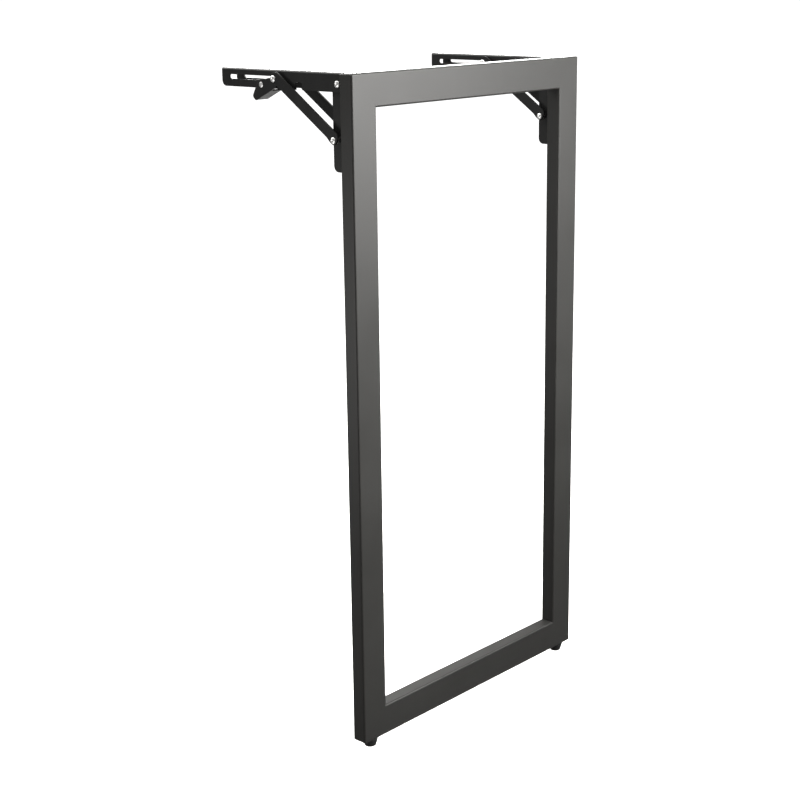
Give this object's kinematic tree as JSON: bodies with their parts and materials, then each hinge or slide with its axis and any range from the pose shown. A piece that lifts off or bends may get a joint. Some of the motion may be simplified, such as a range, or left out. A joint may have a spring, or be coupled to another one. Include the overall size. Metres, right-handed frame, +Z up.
{
  "type": "folding table leg",
  "caption": "Rectangular tube table leg frame with folding, slotted and braced top brackets that screw under a tabletop, lock open and fold flat with a release lever.",
  "frame": {"origin": "centre of the tabletop screw pattern, on the underside of the tabletop", "axes": "+X across the leg frame to its right, +Y from the leg frame back along the bracket arms, +Z up into the tabletop"},
  "size_m": [0.38, 0.2045, 0.75],
  "materials": {
    "frame_coat": "satin powder coat",
    "bracket_coat": "satin black",
    "zinc_steel": "bright zinc",
    "spring_steel": "oiled",
    "foot_plastic": "matte"
  },
  "bodies": {
    "tabletop_arms": {"left_arm": "bracket_coat", "left_corner_rivet": "zinc_steel", "left_lever_rivet": "zinc_steel", "left_lever_spring": "spring_steel", "right_arm": "bracket_coat", "right_corner_rivet": "zinc_steel", "right_lever_rivet": "zinc_steel", "right_lever_spring": "spring_steel"},
    "leg": {"left_upright": "frame_coat", "right_upright": "frame_coat", "top_rail": "frame_coat", "bottom_rail": "frame_coat", "left_leg_channel": "bracket_coat", "left_upper_leg_screw": "zinc_steel", "left_lower_leg_screw": "zinc_steel", "left_brace_rivet": "zinc_steel", "left_foot_insert": "zinc_steel", "right_leg_channel": "bracket_coat", "right_upper_leg_screw": "zinc_steel", "right_lower_leg_screw": "zinc_steel", "right_brace_rivet": "zinc_steel", "right_foot_insert": "zinc_steel"},
    "left_braces": {"left_outer_brace": "bracket_coat", "left_inner_brace": "bracket_coat", "left_outer_slot_rivet": "zinc_steel", "left_inner_slot_rivet": "zinc_steel"},
    "left_slider": {"left_slot_pin": "zinc_steel"},
    "left_lever": {"left_release_lever": "bracket_coat"},
    "left_foot": {"left_foot_base": "foot_plastic", "left_foot_stud": "zinc_steel"},
    "right_braces": {"right_outer_brace": "bracket_coat", "right_inner_brace": "bracket_coat", "right_outer_slot_rivet": "zinc_steel", "right_inner_slot_rivet": "zinc_steel"},
    "right_slider": {"right_slot_pin": "zinc_steel"},
    "right_lever": {"right_release_lever": "bracket_coat"},
    "right_foot": {"right_foot_base": "foot_plastic", "right_foot_stud": "zinc_steel"}
  },
  "joints": [
    {"name": "leg_fold", "type": "hinge", "parent": "tabletop_arms", "child": "leg", "pos_m": [0, -0.089, -0.012], "axis": [1, 0, 0], "range_deg": [0, 82]},
    {"name": "left_brace_swing", "type": "hinge", "parent": "leg", "child": "left_braces", "pos_m": [-0.172, -0.086, -0.069], "axis": [1, 0, 0], "range_deg": [-112.54, 0.5]},
    {"name": "left_slot_slide", "type": "slide", "parent": "tabletop_arms", "child": "left_slider", "axis": [0, 1, 0], "range_m": [0, 0.07187]},
    {"name": "left_lever_press", "type": "hinge", "parent": "tabletop_arms", "child": "left_lever", "pos_m": [-0.172, 0.024, -0.0165], "axis": [1, 0, 0], "range_deg": [0, 16], "stiffness_Nm_per_rad": 0.35, "springref_deg": -20.05, "deforming": ["left_lever_spring"]},
    {"name": "left_foot_level", "type": "slide", "parent": "leg", "child": "left_foot", "axis": [0, 0, -1], "range_m": [0, 0.008]},
    {"name": "right_brace_swing", "type": "hinge", "parent": "leg", "child": "right_braces", "pos_m": [0.172, -0.086, -0.069], "axis": [1, 0, 0], "range_deg": [-112.54, 0.5]},
    {"name": "right_slot_slide", "type": "slide", "parent": "tabletop_arms", "child": "right_slider", "axis": [0, 1, 0], "range_m": [0, 0.07187]},
    {"name": "right_lever_press", "type": "hinge", "parent": "tabletop_arms", "child": "right_lever", "pos_m": [0.172, 0.024, -0.0165], "axis": [1, 0, 0], "range_deg": [0, 16], "stiffness_Nm_per_rad": 0.35, "springref_deg": -20.05, "deforming": ["right_lever_spring"]},
    {"name": "right_foot_level", "type": "slide", "parent": "leg", "child": "right_foot", "axis": [0, 0, -1], "range_m": [0, 0.008]}
  ],
  "couplings": [
    {"joint": "left_brace_swing", "follows": "leg_fold", "ratio": -1.3663},
    {"joint": "left_slot_slide", "follows": "leg_fold", "m_per_rad": 0.050188},
    {"joint": "right_brace_swing", "follows": "leg_fold", "ratio": -1.3663},
    {"joint": "right_slot_slide", "follows": "leg_fold", "m_per_rad": 0.050188}
  ]
}
